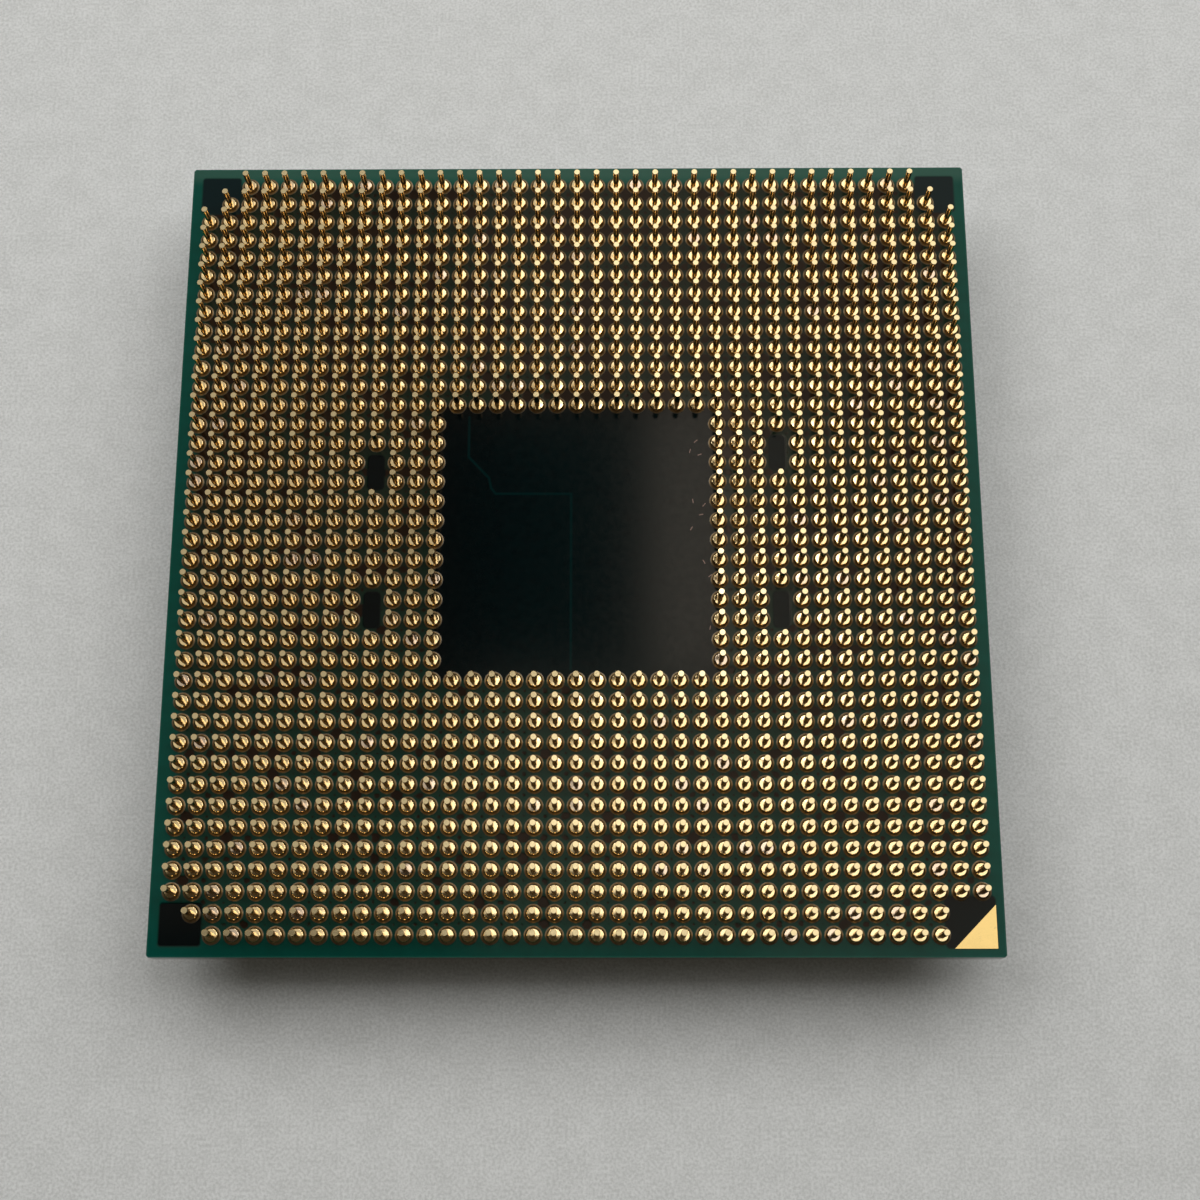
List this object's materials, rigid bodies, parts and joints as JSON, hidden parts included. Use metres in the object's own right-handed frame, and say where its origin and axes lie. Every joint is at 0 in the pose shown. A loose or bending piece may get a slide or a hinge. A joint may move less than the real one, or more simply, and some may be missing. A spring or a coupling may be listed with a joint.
{
  "type": "pin grid array processor",
  "caption": "Square processor package resting on its metal lid: a dark green board with a field of gold contact pins around an empty middle and a gold triangle marking pin one.",
  "frame": {"origin": "centre of the lid's outer face, which the part rests on", "axes": "+Z from the lid towards the pin tips, +X and +Y along the board's edges, gold triangle in the +X -Y corner"},
  "size_m": [0.04, 0.04, 0.0063],
  "materials": {
    "board_laminate": "satin green solder mask",
    "lid_nickel": "satin nickel plating",
    "sealant_rubber": "matt black",
    "thermal_metal": "dull soft metal",
    "silicon": "polished grey",
    "underfill_resin": "glossy dark resin",
    "capacitor_ceramic": "matt tan ceramic",
    "terminal_tin": "matt tin",
    "pin_gold": "thin gold plating",
    "pin_solder": "dull grey solder",
    "marker_gold": "flat gold plating"
  },
  "bodies": {
    "root": {"substrate": "board_laminate", "heat_spreader": "lid_nickel", "lid_sealant": "sealant_rubber", "thermal_solder": "thermal_metal", "silicon_die": "silicon", "die_underfill": "underfill_resin", "capacitor_bodies": "capacitor_ceramic", "capacitor_terminals": "terminal_tin", "north_pins": "pin_gold", "south_pins": "pin_gold", "west_pins": "pin_gold", "east_pins": "pin_gold", "north_pin_solder": "pin_solder", "south_pin_solder": "pin_solder", "west_pin_solder": "pin_solder", "east_pin_solder": "pin_solder", "pin_one_marker": "marker_gold"}
  },
  "joints": []
}
